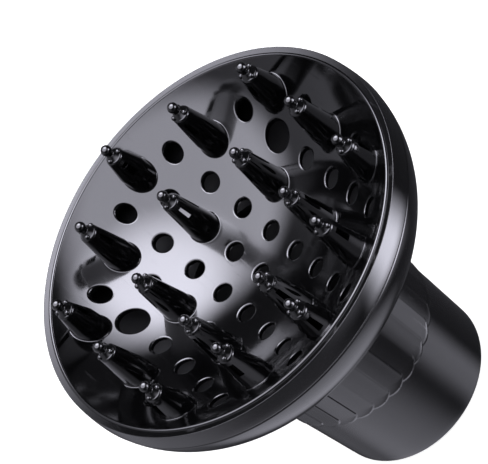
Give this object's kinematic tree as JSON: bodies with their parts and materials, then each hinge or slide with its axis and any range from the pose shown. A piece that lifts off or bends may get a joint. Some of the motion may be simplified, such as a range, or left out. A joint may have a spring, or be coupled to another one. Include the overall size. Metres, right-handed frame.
{
  "type": "hair dryer diffuser",
  "caption": "Round bowl diffuser with air holes and hollow prongs on a tapered collar, with an iris clamp in the mouth that a twist ring closes on a dryer nozzle.",
  "frame": {"origin": "centre of the collar's mouth, in the plane of its end face", "axes": "+Z along the round axis, from the collar's mouth towards the bowl's opening; +X towards one of the claws' pivots"},
  "size_m": [0.1694, 0.1694, 0.151],
  "materials": {
    "gloss_black": "polished",
    "satin_black": "satin",
    "grip_rubber": "matt",
    "steel": "brushed"
  },
  "bodies": {
    "diffuser": {"front_dish": "gloss_black", "inner_prongs": "gloss_black", "outer_prongs": "gloss_black", "rear_shell": "gloss_black", "nozzle_collar": "gloss_black", "mouth_ring": "satin_black", "claw_carrier": "satin_black", "carrier_screws": "steel", "pivot_pins": "steel"},
    "twist_ring": {"adjusting_ring": "satin_black"},
    "gripper_1": {"claw_1": "satin_black", "grip_pad_1": "grip_rubber"},
    "gripper_2": {"claw_2": "satin_black", "grip_pad_2": "grip_rubber"},
    "gripper_3": {"claw_3": "satin_black", "grip_pad_3": "grip_rubber"},
    "gripper_4": {"claw_4": "satin_black", "grip_pad_4": "grip_rubber"},
    "gripper_5": {"claw_5": "satin_black", "grip_pad_5": "grip_rubber"},
    "gripper_6": {"claw_6": "satin_black", "grip_pad_6": "grip_rubber"}
  },
  "joints": [
    {"name": "ring_twist", "type": "hinge", "parent": "diffuser", "child": "twist_ring", "pos_m": [0, 0, 0.0042], "axis": [0, 0, 1], "range_deg": [0, 30]},
    {"name": "claw_1_pivot", "type": "hinge", "parent": "diffuser", "child": "gripper_1", "pos_m": [0.0325, 0, 0.0134], "axis": [0, 0, 1], "range_deg": [0, 20.01]},
    {"name": "claw_2_pivot", "type": "hinge", "parent": "diffuser", "child": "gripper_2", "pos_m": [0.01625, 0.02815, 0.0134], "axis": [0, 0, 1], "range_deg": [0, 20.01]},
    {"name": "claw_3_pivot", "type": "hinge", "parent": "diffuser", "child": "gripper_3", "pos_m": [-0.01625, 0.02815, 0.0134], "axis": [0, 0, 1], "range_deg": [0, 20.01]},
    {"name": "claw_4_pivot", "type": "hinge", "parent": "diffuser", "child": "gripper_4", "pos_m": [-0.0325, 0, 0.0134], "axis": [0, 0, 1], "range_deg": [0, 20.01]},
    {"name": "claw_5_pivot", "type": "hinge", "parent": "diffuser", "child": "gripper_5", "pos_m": [-0.01625, -0.02815, 0.0134], "axis": [0, 0, 1], "range_deg": [0, 20.01]},
    {"name": "claw_6_pivot", "type": "hinge", "parent": "diffuser", "child": "gripper_6", "pos_m": [0.01625, -0.02815, 0.0134], "axis": [0, 0, 1], "range_deg": [0, 20.01]}
  ],
  "couplings": [
    {"joint": "claw_1_pivot", "follows": "ring_twist", "ratio": 0.66667},
    {"joint": "claw_2_pivot", "follows": "ring_twist", "ratio": 0.66667},
    {"joint": "claw_3_pivot", "follows": "ring_twist", "ratio": 0.66667},
    {"joint": "claw_4_pivot", "follows": "ring_twist", "ratio": 0.66667},
    {"joint": "claw_5_pivot", "follows": "ring_twist", "ratio": 0.66667},
    {"joint": "claw_6_pivot", "follows": "ring_twist", "ratio": 0.66667}
  ]
}
